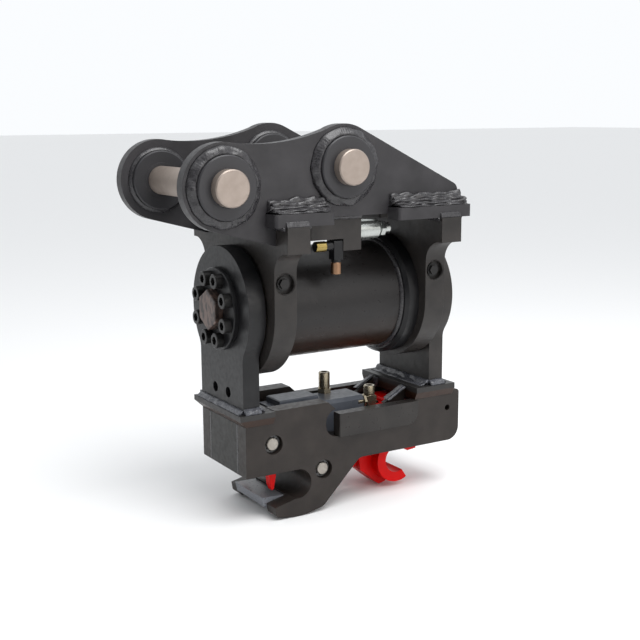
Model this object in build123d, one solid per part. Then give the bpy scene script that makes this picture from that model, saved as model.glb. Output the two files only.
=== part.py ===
from build123d import *
import math
import os

# Tilting quick coupler for a mini excavator. Sizes are in millimetres.
# The pieces are drawn about the tilt axis: X runs along that axis from the front jaw to the rear hook,
# Y across the coupler and Z up. place() then moves every piece so that the centre of the dipper pin
# is the origin.

# Upper pins
PIN_D = 40.0
PIN_HEAD_D = 48.0
PIN_HEAD_T = 14.0
PIN_FIT = 0.05
PIN_GROOVE_W = 2.0
PIN_GROOVE_DEPTH = 1.0
DIPPER_X = -215.0
DIPPER_Z = 175.0
LINK_X = -35.0
LINK_Z = 196.0
ARM_WIDTH = 168.0
RETAINER_D = 56.0
RETAINER_T = 8.0
RETAINER_BOLT_D = 16.0
RETAINER_GAP = 0.4
BOLT_ENGAGEMENT = 30.0

# Ears, their bosses and bushes
EAR_INNER_Y = 94.0
EAR_T = 17.0
EAR_R = 57.0
EAR_END_X = 157.0
EAR_SLOPE = 26.3
EAR_CORNER_R = 12.0
EAR_BOTTOM_Z = 129.5
EAR_TAIL_SLOPE = 15.2
BOSS_D = 83.0
BOSS_PROUD = 12.5
BOSS_CHAMFER = 1.5
BUSH_WALL = 5.0

# Upper housing: two saddles, the barrel between them and what sits on top
SADDLE_MID_X = 124.0
SADDLE_T = 34.0
SADDLE_HALF_W = 105.0
SADDLE_DROP = 97.5
SADDLE_BAR_Y = 142.0
SADDLE_BAR_TOP_Z = 122.0
SADDLE_BAR_BOTTOM_Z = 87.0
SADDLE_NECK_R = 30.0
SHELF_T = 17.0
SHELF_W = 27.0
SHELF_FRONT = (-156.0, -66.0)
SHELF_REAR = (36.0, 162.0)
DECK_FRONT = (-156.0, -86.0)
DECK_REAR = (36.0, 156.0)
BARREL_OD = 158.0
BARREL_WALL = 12.0
COLLAR_H = 11.5
COLLAR_W = 22.0
COLLAR_CHAMFER = 5.0
MANIFOLD_X = (-84.0, -4.0)
MANIFOLD_Y = (-105.0, -62.0)
MANIFOLD_BOTTOM_Z = 82.0
VALVE_D = 28.0
VALVE_LENGTH = 35.0
VALVE_TIP_D = 15.0
VALVE_TIP_LENGTH = 20.0
VALVE_NUT = 19.0
VALVE_NUT_T = 7.0
VALVE_NUT_BACK = 16.0
VALVE_SEAT_D = 22.0
VALVE_SEAT_L = 17.0
VALVE_Y = -90.0
VALVE_Z = 108.0
MANIFOLD_STEP_X = -33.0
MANIFOLD_STEP_Z = 98.5
ELBOW_W = 14.0
ELBOW_Y = -97.0
ELBOW_LEG_Z = 89.0
ELBOW_LEG_D = 13.0
ELBOW_LEG_L = 27.0
ELBOW_BOTTOM_Z = 70.0
ELBOW_DROP = 20.0
ELBOW_SPIGOT_D = 10.0
ELBOW_SPIGOT_L = 10.0
PLUG_Z = 43.5
PLUG_RECESS_D = 28.0
PLUG_RECESS_DEPTH = 8.0
PLUG_MOUTH = 1.5
PLUG_HEX = 12.5
PLUG_HEAD_H = 6.0
PLUG_FLANGE_D = 19.0
PLUG_FLANGE_T = 2.5
PLUG_THREAD_D = 14.0
PLUG_THREAD_L = 12.0
PLUG_HOLE_DEPTH = 22.0

# Tilt actuator inside the barrel
JOURNAL_D = 108.0
SHAFT_BUSH_WALL = 6.0
RUNNING_GAP = 0.05
SEAL_W = 6.0
SHAFT_D = 70.0
SHAFT_BORE_D = 24.0
PISTON_HEAD_W = 28.0
PISTON_HEAD_X = -34.0
PISTON_LENGTH = 110.0
PISTON_STROKE = 24.0
SLEEVE_OD = 112.0
SEAL_GROOVE_W = 10.0
SEAL_GROOVE_DEPTH = 6.0
RING_GEAR_LENGTH = 72.0
GEAR_GAP = 0.3
THRUST_WASHER_OD = 142.0
THRUST_WASHER_GAP = 0.5

# Helical teeth: the piston turns 45 degrees in its stroke, and the shaft as much again
TURN_PER_MM = 1.875
SHAFT_TEETH = 8
SLEEVE_TEETH = 10
TOOTH_H = 4.0
TOOTH_ROOT_SHARE = 0.31
TOOTH_TIP_SHARE = 0.17

# End plates, flanges and their screws
END_GAP = 4.0
END_T = 25.0
END_DISC_D = 175.4
LEG_HALF_W = 65.7
END_NECK_R = 25.0
FLANGE_D = 116.4
FLANGE_PROUD = 7.5
SCREW_COUNT = 8
SCREW_D = 14.0
SCREW_WALL = 2.5
SCREW_HEAD_D = 21.0
SCREW_HEAD_H = 11.0
SCREW_SOCKET = 11.0
SCREW_SOCKET_DEPTH = 6.0
SCREW_LENGTH = 55.0
CENTRE_PLUG_HEX = 50.0
CENTRE_PLUG_PROUD = 12.5
CENTRE_PLUG_SPIGOT = 18.0
LEG_HOLE_D = 15.0
LEG_HOLE_PITCH = 40.0
LEG_HOLE_Z = -116.0

# Lower hitch: cross plates, side plates and jaw
CROSS_TOP_Z = -138.5
CROSS_T = 18.5
CROSS_HALF_W = 74.2
CROSS_CHAMFER = (6.0, 11.0)
CROSS_FRONT = (-179.0, -125.0)
CROSS_REAR = (117.0, 188.0)
SIDE_OUTER_Y = 68.3
SIDE_T = 26.0
SIDE_TOP_Z = -139.3
SIDE_BOTTOM_Z = -230.0
SIDE_FRONT_X = -168.4
SIDE_REAR_X = 200.9
SIDE_REAR_TOP_Z = -151.0
SIDE_CORNER_R = 20.0
POCKET_X = (-39.0, 118.0)
POCKET_BOTTOM_Z = -191.5
POCKET_RISE = 6.0
POCKET_R = 18.0
GUARD_TOP_Z = -157.0
GUARD_FRONT_X = -20.8
GUARD_T = 17.0
GUARD_PROUD = 8.0
GUARD_END_GAP = 0.2
JAW_D = 43.2
JAW_X = -86.0
JAW_Z = -252.0
NOSE_X = -122.0
NOSE_TOP_Z = -281.0
LOBE_BOTTOM_Z = -301.0
LOBE_FOOT_X = 18.6
LOBE_SLOPE_RUN = 63.0
LINER_FRONT = 10.0
LINER_T = 12.0
LIP_T = 14.0
LIP_OVERHANG = 8.7
LIP_RISE = 8.5
FINGER_SLOT_Y = 27.5
FRONT_BLOCK_T = 24.0
ROOF_TOP_Z = -205.5
ROOF_REAR_X = -64.0
REAR_BAR_T = 12.0
REAR_BAR_INSET = 4.0
GUSSET_T = 8.0
GUSSET_REACH = 38.0
GUSSET_DROP = 6.0
SAFETY_HOLE_D = 9.0
SAFETY_HOLE = (179.0, -178.0)

# Latch and the two cross pins of the hitch
CROSS_PIN_D = 18.0
CROSS_PIN_STAND = 6.0
COUNTERBORE_D = 28.0
COUNTERBORE_DEPTH = 9.0
RING_OD = 25.0
RING_T = 2.5
LATCH_X = -124.7
LATCH_Z = -187.8
TIE_X = -43.4
TIE_Z = -237.2
LATCH_HUB_D = 30.0
LATCH_BARREL_D = 24.0
LATCH_FINGER_T = 12.0
SIDE_CLEARANCE = 0.6
SPACER_D = 26.0
SPRING_WIRE = 2.6
SPRING_TURNS = 6
SPRING_PITCH = 3.6

# Hook cylinder and rear hook
CYL_X = (-100.0, 53.0)
CYL_HALF_W = 27.5
CYL_TOP_Z = -150.0
CYL_AXIS_Z = -180.0
CYL_BORE_D = 40.0
ROD_D = 22.0
CYL_CAP_T = 12.0
GLAND_T = 22.0
PISTON_W = 20.0
TOP_PLATE_X = (-88.0, -23.0)
TOP_PLATE_HALF_W = 20.0
TOP_PLATE_T = 9.0
HOOK_JAW_D = 41.0
HOOK_X = 108.0
HOOK_Z = -257.0
HOOK_HALF_W = 36.0
HOOK_FLANGE_T = 18.0
HOOK_RIM = 15.0
HEEL_D = 22.0
SLIDER_X = (78.0, 140.0)
SLIDER_TOP_Z = -172.0
SLIDER_STEP_X = 100.0
SLIDER_STEP_IN = 9.0
SLIDER_RAISED_Z = -166.0
SLIDER_BOTTOM_Z = -206.0
SLIDER_HALF_W = 41.2
LUG_X = (78.0, 98.0)
LUG_OUTER_Y = 57.0
LUG_GAP = 1.5
FITTING_D = 16.0
FITTING_NUT = 19.0
FITTING_NEAR = (66.0, -22.0)
FITTING_FAR = (12.0, 20.0)
FITTING_HEIGHT = 32.0
ELBOW_BASE_Z = -169.0
HOOK_PISTON_X = -14.0
ROD_SPIGOT = 16.0

os.makedirs("parts", exist_ok=True)

# Values that follow from the sizes above
BARREL_ID = BARREL_OD - 2 * BARREL_WALL
SCREW_PCD = JOURNAL_D - SCREW_D - 2 * SCREW_WALL
FLANGE_SPIGOT_D = SCREW_PCD - SCREW_D - 2 * SCREW_WALL
EAR_OUTER_Y = EAR_INNER_Y + EAR_T
BOSS_INNER_Y = ARM_WIDTH / 2
BOSS_OUTER_Y = EAR_OUTER_Y + BOSS_PROUD
SADDLE_IN_X = SADDLE_MID_X - SADDLE_T / 2
SADDLE_OUT_X = SADDLE_MID_X + SADDLE_T / 2
END_IN_X = SADDLE_OUT_X + END_GAP
END_OUT_X = END_IN_X + END_T
FLANGE_OUT_X = END_OUT_X + FLANGE_PROUD
SIDE_INNER_Y = SIDE_OUTER_Y - SIDE_T
CROSS_BOTTOM_Z = CROSS_TOP_Z - CROSS_T
FRONT_BLOCK_X = SIDE_FRONT_X + FRONT_BLOCK_T
GUARD_OUTER_Y = SIDE_OUTER_Y + GUARD_PROUD
GUARD_INNER_Y = GUARD_OUTER_Y - GUARD_T
DIPPER_PIN = (DIPPER_X, DIPPER_Z)
LINK_PIN = (LINK_X, LINK_Z)


def slab_xz(sketch, y_low, y_high):
    """A flat plate whose outline is drawn in X and Z."""
    return extrude(Plane.XZ.offset(-y_high) * sketch, y_high - y_low)


def slab_yz(sketch, x_low, x_high):
    """A flat plate whose outline is drawn in Y and Z."""
    return extrude(Plane.YZ.offset(x_low) * sketch, x_high - x_low)


def slab_xy(sketch, z_low, z_high):
    """A flat plate whose outline is drawn in X and Y."""
    return extrude(Plane.XY.offset(z_low) * sketch, z_high - z_low)


def block(x, y, z):
    """A box between the given low and high values on each axis."""
    size = (x[1] - x[0], y[1] - y[0], z[1] - z[0])
    return Pos((x[0] + x[1]) / 2, (y[0] + y[1]) / 2, (z[0] + z[1]) / 2) * Box(*size)


def rod_x(diameter, x_low, x_high, y=0.0, z=0.0):
    return slab_yz(Pos(y, z) * Circle(diameter / 2), x_low, x_high)


def rod_y(diameter, y_low, y_high, x, z):
    return slab_xz(Pos(x, z) * Circle(diameter / 2), y_low, y_high)


def rod_z(diameter, z_low, z_high, x, y):
    return slab_xy(Pos(x, y) * Circle(diameter / 2), z_low, z_high)


def tube_x(outer, inner, x_low, x_high, y=0.0, z=0.0):
    return slab_yz(Pos(y, z) * (Circle(outer / 2) - Circle(inner / 2)), x_low, x_high)


def tube_y(outer, inner, y_low, y_high, x, z):
    return slab_xz(Pos(x, z) * (Circle(outer / 2) - Circle(inner / 2)), y_low, y_high)


def on_circle(centre, radius, degrees):
    turn = math.radians(degrees)
    return (centre[0] + radius * math.cos(turn), centre[1] + radius * math.sin(turn))


def both_sides(piece):
    """The piece and its mirror image across the middle plane."""
    return [piece, mirror(piece, Plane.XZ)]


def both_ends(piece):
    """The piece and its mirror image across the plane midway between the saddles."""
    return [piece, mirror(piece, Plane.YZ)]


def save(name, *solids):
    """Move the solids to the dipper pin's frame and write them as one node."""
    placed = []
    for item in solids:
        for solid in item.solids():
            placed.append(Pos(-DIPPER_X, 0, -DIPPER_Z) * solid)
    shape = placed[0] if len(placed) == 1 else Compound(children=placed)
    export_step(shape, f"parts/{name}.step")


def ear_outline():
    left, right = DIPPER_PIN, LINK_PIN
    valley_a = on_circle(left, EAR_R, 78)
    valley_b = on_circle(right, EAR_R, 118)
    valley_mid = ((valley_a[0] + valley_b[0]) / 2, min(valley_a[1], valley_b[1]) - 0.5)
    slope_top = on_circle(right, EAR_R, 90 - EAR_SLOPE)
    slope_end = (EAR_END_X, slope_top[1] - (EAR_END_X - slope_top[0]) * math.tan(math.radians(EAR_SLOPE)))
    tail_top = on_circle(left, EAR_R, -90 - EAR_TAIL_SLOPE)
    tail_x = -SADDLE_OUT_X
    tail = (tail_x, tail_top[1] - (tail_x - tail_top[0]) * math.tan(math.radians(EAR_TAIL_SLOPE)))
    lower = [
        slope_end,
        (EAR_END_X, SADDLE_BAR_TOP_Z),
        (SADDLE_IN_X, SADDLE_BAR_TOP_Z),
        (SADDLE_IN_X, EAR_BOTTOM_Z),
        (-SADDLE_IN_X, EAR_BOTTOM_Z),
        (-SADDLE_IN_X, SADDLE_BAR_TOP_Z),
        (-SADDLE_OUT_X, SADDLE_BAR_TOP_Z),
        tail,
        tail_top,
    ]
    edges = [
        ThreePointArc(valley_a, valley_mid, valley_b),
        ThreePointArc(valley_b, on_circle(right, EAR_R, 90), slope_top),
        Line(slope_top, slope_end),
        Polyline(*lower),
        ThreePointArc(tail_top, on_circle(left, EAR_R, 180), valley_a),
    ]
    face = make_face(Curve() + edges)
    corner = face.vertices().sort_by_distance(Vector(slope_end[0], slope_end[1], 0))[0]
    return fillet(corner, EAR_CORNER_R)


def make_ear():
    holes = [Pos(*pin) * Circle(BOSS_D / 2) for pin in (DIPPER_PIN, LINK_PIN)]
    return slab_xz(ear_outline() - holes, -EAR_OUTER_Y, -EAR_INNER_Y)


def make_bosses(pin):
    bore = PIN_D + 2 * BUSH_WALL
    boss = tube_y(BOSS_D, bore, -BOSS_OUTER_Y, -BOSS_INNER_Y, *pin)
    rims = boss.edges().filter_by(GeomType.CIRCLE).filter_by(lambda e: abs(e.radius - BOSS_D / 2) < 0.01)
    return both_sides(chamfer(rims, BOSS_CHAMFER))


def make_bushes(pin):
    bush = tube_y(PIN_D + 2 * BUSH_WALL, PIN_D + 2 * PIN_FIT, -BOSS_OUTER_Y, -BOSS_INNER_Y, *pin)
    return both_sides(bush)


def make_pin(pin):
    """A headed pin with a groove at each inner boss face and a threaded far end."""
    tip_y = BOSS_OUTER_Y - RETAINER_GAP
    shaft = rod_y(PIN_D, -BOSS_OUTER_Y, tip_y, *pin)
    head = rod_y(PIN_HEAD_D, -BOSS_OUTER_Y - PIN_HEAD_T, -BOSS_OUTER_Y, *pin)
    rim = head.edges().filter_by(GeomType.CIRCLE).sort_by(Axis.Y)[0]
    body = shaft + chamfer(rim, 1.5)
    for side in (-1, 1):
        low = min(side * BOSS_INNER_Y, side * (BOSS_INNER_Y + PIN_GROOVE_W))
        body -= tube_y(PIN_D + 2, PIN_D - 2 * PIN_GROOVE_DEPTH, low, low + PIN_GROOVE_W, *pin)
    return body - rod_y(RETAINER_BOLT_D, tip_y - BOLT_ENGAGEMENT - 4, tip_y, *pin)


def make_end_washer(pin):
    inner = BOSS_OUTER_Y + RETAINER_GAP
    washer = tube_y(RETAINER_D, RETAINER_BOLT_D + 1, inner, inner + RETAINER_T, *pin)
    rim = washer.edges().filter_by(GeomType.CIRCLE).sort_by(lambda e: (e.center().Y, e.radius))[-1]
    return chamfer(rim, 1.5)


def make_end_bolt(pin):
    """A hexagon bolt whose head is 1.5 times as wide across flats, and 0.62 times as high, as its thread."""
    seat = BOSS_OUTER_Y + RETAINER_GAP + RETAINER_T
    head_h = RETAINER_BOLT_D * 0.62
    hexagon = RegularPolygon(RETAINER_BOLT_D * 1.5 / 2, 6, major_radius=False)
    head = slab_xz(Pos(*pin) * hexagon, seat, seat + head_h)
    tip = BOSS_OUTER_Y - RETAINER_GAP - BOLT_ENGAGEMENT
    return head + rod_y(RETAINER_BOLT_D - 2 * RUNNING_GAP, tip, seat, *pin)


def saddle_outline():
    """Wide bar on top, rounded necks and an oval lower part about the tilt axis."""
    oval = Ellipse(SADDLE_HALF_W, SADDLE_DROP)
    flank = Pos(0, SADDLE_BAR_TOP_Z / 2) * Rectangle(2 * SADDLE_HALF_W, SADDLE_BAR_TOP_Z)
    bar_mid = (SADDLE_BAR_TOP_Z + SADDLE_BAR_BOTTOM_Z) / 2
    bar = Pos(0, bar_mid) * Rectangle(2 * SADDLE_BAR_Y, SADDLE_BAR_TOP_Z - SADDLE_BAR_BOTTOM_Z)
    face = oval + flank + bar
    necks = [v for v in face.vertices()
             if abs(abs(v.X) - SADDLE_HALF_W) < 0.1 and abs(v.Y - SADDLE_BAR_BOTTOM_Z) < 0.1]
    return fillet(necks, SADDLE_NECK_R)


def plug_recess():
    """The stepped hole in the near side of the rear saddle, with a bevelled mouth."""
    face_y = -SADDLE_HALF_W
    recess = rod_y(PLUG_RECESS_D, face_y - PLUG_MOUTH, face_y + PLUG_RECESS_DEPTH, SADDLE_MID_X, PLUG_Z)
    thread_hole = rod_y(PLUG_THREAD_D, face_y, face_y + PLUG_HOLE_DEPTH, SADDLE_MID_X, PLUG_Z)
    radius = PLUG_RECESS_D / 2
    mouth = Rot(90, 0, 0) * Cone(radius, radius + 2 * PLUG_MOUTH, 2 * PLUG_MOUTH)
    return recess + thread_hole + Pos(SADDLE_MID_X, face_y, PLUG_Z) * mouth


def make_saddle():
    bore = JOURNAL_D + 2 * SHAFT_BUSH_WALL
    saddle = slab_yz(saddle_outline() - Circle(bore / 2), SADDLE_IN_X, SADDLE_OUT_X)
    recess = plug_recess()
    return saddle - recess - mirror(recess, Plane.XZ)


def make_saddle_plug():
    """A hexagon plug with a thin flange, set below the saddle's face."""
    seat = PLUG_RECESS_DEPTH - SADDLE_HALF_W
    hexagon = Pos(SADDLE_MID_X, PLUG_Z) * RegularPolygon(PLUG_HEX / 2, 6, major_radius=False)
    head = slab_xz(hexagon, seat - PLUG_HEAD_H, seat - PLUG_FLANGE_T)
    flange = rod_y(PLUG_FLANGE_D, seat - PLUG_FLANGE_T, seat, SADDLE_MID_X, PLUG_Z)
    return head + flange + rod_y(PLUG_THREAD_D, seat, seat + PLUG_THREAD_L, SADDLE_MID_X, PLUG_Z)


def make_barrel():
    return tube_x(BARREL_OD, BARREL_ID, -SADDLE_IN_X, SADDLE_IN_X)


def make_collar():
    """The thicker end of the barrel beside the rear saddle, which holds the ring gear."""
    outer = BARREL_OD + 2 * COLLAR_H
    collar = tube_x(outer, BARREL_OD, SADDLE_IN_X - COLLAR_W, SADDLE_IN_X)
    rim = collar.edges().filter_by(GeomType.CIRCLE).sort_by(lambda e: e.center().X - e.radius)[0]
    return chamfer(rim, COLLAR_CHAMFER)


def make_shelf(x_range):
    """A plate on the saddle's bar, outside the ear."""
    outer_y = EAR_OUTER_Y + SHELF_W
    z_range = (SADDLE_BAR_TOP_Z, SADDLE_BAR_TOP_Z + SHELF_T)
    shelf = block(x_range, (-outer_y, -EAR_OUTER_Y), z_range)
    corners = shelf.edges().filter_by(Axis.Z).group_by(Axis.Y)[0]
    return both_sides(fillet(corners, 5))


def make_top_plate(x_range):
    """A plate on the saddle's bar, between the ears."""
    plate = block(x_range, (-EAR_INNER_Y, EAR_INNER_Y), (SADDLE_BAR_TOP_Z, SADDLE_BAR_TOP_Z + SHELF_T))
    return fillet(plate.edges().filter_by(Axis.Z), 4)


def make_manifold():
    """The valve block, stepped below its front half to make room for the elbow."""
    body = block(MANIFOLD_X, MANIFOLD_Y, (MANIFOLD_BOTTOM_Z, EAR_BOTTOM_Z))
    step = block((MANIFOLD_X[0] - 1, MANIFOLD_STEP_X), MANIFOLD_Y, (MANIFOLD_BOTTOM_Z - 1, MANIFOLD_STEP_Z))
    body -= step
    body -= rod_x(VALVE_SEAT_D, MANIFOLD_X[1] - VALVE_SEAT_L - 1, MANIFOLD_X[1], VALVE_Y, VALVE_Z)
    elbow_hole_end = MANIFOLD_STEP_X + ELBOW_SPIGOT_L + 1
    return body - rod_x(ELBOW_SPIGOT_D, MANIFOLD_STEP_X, elbow_hole_end, ELBOW_Y, ELBOW_LEG_Z)


def make_elbow():
    """The fitting in the block's step: one leg runs forward, the other turns down."""
    x = (MANIFOLD_STEP_X - ELBOW_W, MANIFOLD_STEP_X)
    y = (ELBOW_Y - ELBOW_W / 2, ELBOW_Y + ELBOW_W / 2)
    body = block(x, y, (ELBOW_BOTTOM_Z, MANIFOLD_STEP_Z - 1.5))
    body = fillet(body.edges().filter_by(Axis.X).group_by(Axis.Z)[-1], ELBOW_W / 4)
    spigot = rod_x(ELBOW_SPIGOT_D - 2 * RUNNING_GAP, x[1], x[1] + ELBOW_SPIGOT_L, ELBOW_Y, ELBOW_LEG_Z)
    leg = rod_x(ELBOW_LEG_D, x[0] - ELBOW_LEG_L, x[0], ELBOW_Y, ELBOW_LEG_Z)
    drop = rod_z(ELBOW_LEG_D, ELBOW_BOTTOM_Z - ELBOW_DROP, ELBOW_BOTTOM_Z, (x[0] + x[1]) / 2, ELBOW_Y)
    return body + spigot + leg + drop


def make_relief_valve():
    """A round cartridge body with a hexagon and an adjusting tip in two steps."""
    start = MANIFOLD_X[1]
    body = rod_x(VALVE_D, start, start + VALVE_LENGTH, VALVE_Y, VALVE_Z)
    rim = body.edges().filter_by(GeomType.CIRCLE).sort_by(Axis.X)[-1]
    body = chamfer(rim, 2)
    seat = rod_x(VALVE_SEAT_D - 2 * RUNNING_GAP, start - VALVE_SEAT_L, start, VALVE_Y, VALVE_Z)
    end = start + VALVE_LENGTH + VALVE_TIP_LENGTH
    tip = rod_x(VALVE_TIP_D, start + VALVE_LENGTH, end, VALVE_Y, VALVE_Z)
    hexagon = Pos(VALVE_Y, VALVE_Z) * RegularPolygon(VALVE_NUT / 2, 6, major_radius=False)
    nut = slab_yz(hexagon, end - VALVE_NUT_BACK, end - VALVE_NUT_BACK + VALVE_NUT_T)
    return body + seat + tip + nut


def make_shaft_bush():
    outer = JOURNAL_D + 2 * SHAFT_BUSH_WALL
    return tube_x(outer, JOURNAL_D + 2 * RUNNING_GAP, SADDLE_IN_X, SADDLE_OUT_X - SEAL_W)


def make_shaft_seal():
    outer = JOURNAL_D + 2 * SHAFT_BUSH_WALL
    return tube_x(outer, JOURNAL_D + 2 * RUNNING_GAP, SADDLE_OUT_X - SEAL_W, SADDLE_OUT_X)


def toothed_outline(tip_d, count, gap):
    """Straight-sided teeth round the tilt axis, the first along Y, all grown by the gap."""
    tip = tip_d / 2
    root = tip - TOOTH_H
    half_tooth = ((TOOTH_TIP_SHARE, tip), (TOOTH_ROOT_SHARE, root))
    other_half = [(-share, radius) for share, radius in reversed(half_tooth)]
    corners = []
    for tooth in range(count):
        for share, radius in (*other_half, *half_tooth):
            widen = math.copysign(math.degrees(gap / radius), share)
            corners.append(on_circle((0, 0), radius + gap, (tooth + share) * 360 / count + widen))
    return make_face(Polyline(*corners, close=True))


def helical(face, x_low, x_high, turn):
    """The outline swept along X while it turns by the given degrees per millimetre."""
    origin = (x_low, 0, 0)
    along = (1, 0, 0)
    start = Plane(origin=origin, x_dir=(0, 1, 0), z_dir=along)
    pitch = 360 / abs(turn)
    guide = Helix(pitch, x_high - x_low, SHAFT_D, center=origin, direction=along, lefthand=turn < 0)
    path = Line(origin, (x_high, 0, 0))
    return sweep(start * (Rot(0, 0, turn * x_low) * face), path=path, binormal=guide)


def make_tilt_shaft():
    """Two journals and a core with helical teeth along the piston's travel."""
    journal = rod_x(JOURNAL_D, SADDLE_IN_X + 3, END_IN_X - 0.2)
    depth = SCREW_LENGTH - END_T - FLANGE_PROUD + 4
    for angle in screw_angles():
        journal -= rod_x(SCREW_D, END_IN_X - depth, END_IN_X, *on_circle((0, 0), SCREW_PCD / 2, angle))
    reach = PISTON_STROKE + 3
    span = (PISTON_HEAD_X - reach, PISTON_HEAD_X + PISTON_LENGTH + reach)
    teeth = helical(toothed_outline(SHAFT_D, SHAFT_TEETH, 0), *span, -TURN_PER_MM)
    core = rod_x(SHAFT_D - 2 * TOOTH_H - 2, -END_IN_X + 1, END_IN_X - 1)
    shaft = core + teeth + both_ends(journal)
    return shaft - rod_x(SHAFT_BORE_D, -END_IN_X, END_IN_X)


def screw_angles():
    return [(i + 0.5) * 360 / SCREW_COUNT for i in range(SCREW_COUNT)]


def make_ring_gear():
    """The toothed ring in the barrel, in which the piston's sleeve turns as it slides."""
    start = SADDLE_IN_X - RING_GEAR_LENGTH
    teeth = helical(toothed_outline(SLEEVE_OD, SLEEVE_TEETH, GEAR_GAP), start, SADDLE_IN_X, TURN_PER_MM)
    return rod_x(BARREL_ID, start, SADDLE_IN_X) - teeth


def make_piston():
    """A grooved head with a sleeve that is toothed outside and, the other way round, inside."""
    head_end = PISTON_HEAD_X + PISTON_HEAD_W
    end = PISTON_HEAD_X + PISTON_LENGTH
    head = rod_x(BARREL_ID - 2 * GEAR_GAP, PISTON_HEAD_X, head_end)
    middle = (PISTON_HEAD_X + head_end) / 2
    groove_x = (middle - SEAL_GROOVE_W / 2, middle + SEAL_GROOVE_W / 2)
    groove = tube_x(BARREL_ID + 2, BARREL_ID - 2 * SEAL_GROOVE_DEPTH, *groove_x)
    sleeve = helical(toothed_outline(SLEEVE_OD, SLEEVE_TEETH, 0), head_end, end, TURN_PER_MM)
    bore = helical(toothed_outline(SHAFT_D, SHAFT_TEETH, GEAR_GAP), PISTON_HEAD_X, end, -TURN_PER_MM)
    return head - groove + sleeve - bore


def make_piston_seal():
    middle = PISTON_HEAD_X + PISTON_HEAD_W / 2
    half = SEAL_GROOVE_W / 2 - 2 * RUNNING_GAP
    inner = BARREL_ID - 2 * SEAL_GROOVE_DEPTH + 2 * RUNNING_GAP
    return tube_x(BARREL_ID - 2 * RUNNING_GAP, inner, middle - half, middle + half)


def make_end_plate(holes):
    disc = Circle(END_DISC_D / 2)
    leg_h = -CROSS_TOP_Z
    leg = Pos(0, -leg_h / 2) * Rectangle(2 * LEG_HALF_W, leg_h)
    face = disc + leg
    necks = [v for v in face.vertices() if abs(abs(v.X) - LEG_HALF_W) < 0.1 and v.Y > CROSS_TOP_Z + 1]
    face = fillet(necks, END_NECK_R) - Circle(FLANGE_SPIGOT_D / 2)
    for angle in screw_angles():
        face -= Pos(*on_circle((0, 0), SCREW_PCD / 2, angle)) * Circle(SCREW_D / 2 + 0.5)
    if holes:
        for side in (-1, 1):
            face -= Pos(side * LEG_HOLE_PITCH / 2, LEG_HOLE_Z) * Circle(LEG_HOLE_D / 2)
    plate = slab_yz(face, END_IN_X, END_OUT_X)
    return plate


def make_end_flange():
    """The bolted disc on the outside of an end plate, with a spigot in the plate's bore."""
    disc = rod_x(FLANGE_D, END_OUT_X, FLANGE_OUT_X)
    rim = disc.edges().filter_by(GeomType.CIRCLE).sort_by(Axis.X)[-1]
    disc = chamfer(rim, 1.2)
    flange = disc + rod_x(FLANGE_SPIGOT_D - 4 * RUNNING_GAP, END_IN_X, END_OUT_X)
    for angle in screw_angles():
        y, z = on_circle((0, 0), SCREW_PCD / 2, angle)
        flange -= rod_x(SCREW_D + 1, END_IN_X - 1, FLANGE_OUT_X + 1, y, z)
    return flange - rod_x(SHAFT_BORE_D, END_IN_X - 1, FLANGE_OUT_X + 1)


def make_screw(y, z):
    """A cap screw with a hexagon socket."""
    top = FLANGE_OUT_X + SCREW_HEAD_H
    head = rod_x(SCREW_HEAD_D, FLANGE_OUT_X, top, y, z)
    rim = head.edges().filter_by(GeomType.CIRCLE).sort_by(Axis.X)[-1]
    socket = RegularPolygon(SCREW_SOCKET / 2, 6, major_radius=False)
    head = chamfer(rim, 0.8) - slab_yz(Pos(y, z) * socket, top - SCREW_SOCKET_DEPTH, top + 1)
    return head + rod_x(SCREW_D, FLANGE_OUT_X - SCREW_LENGTH, FLANGE_OUT_X, y, z)


def make_centre_plug():
    """A plain hexagon cap in the middle of the flange, with a corner at the top."""
    start = FLANGE_OUT_X
    outline = RegularPolygon(CENTRE_PLUG_HEX / 2, 6, major_radius=False, rotation=90)
    head = slab_yz(outline, start, start + CENTRE_PLUG_PROUD)
    head = chamfer(head.edges().group_by(Axis.X)[-1], 1)
    return head + rod_x(SHAFT_BORE_D - 2 * RUNNING_GAP, start - CENTRE_PLUG_SPIGOT, start)


def make_thrust_washer():
    return tube_x(THRUST_WASHER_OD, JOURNAL_D + 2, SADDLE_OUT_X + THRUST_WASHER_GAP, END_IN_X)


def make_cross_plate(x_range):
    """A slab with its lower outer edges cut back."""
    in_y, up_z = CROSS_CHAMFER
    half = CROSS_HALF_W
    profile = [
        (-half, CROSS_TOP_Z),
        (half, CROSS_TOP_Z),
        (half, CROSS_BOTTOM_Z + up_z),
        (half - in_y, CROSS_BOTTOM_Z),
        (in_y - half, CROSS_BOTTOM_Z),
        (-half, CROSS_BOTTOM_Z + up_z),
    ]
    return slab_yz(make_face(Polyline(*profile, close=True)), *x_range)


def make_front_cross_plate():
    plate = make_cross_plate(CROSS_FRONT)
    front = plate.edges().filter_by(Axis.Y).sort_by(lambda e: e.center().X + e.center().Z)[0]
    return chamfer(front, CROSS_CHAMFER[1])


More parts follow.
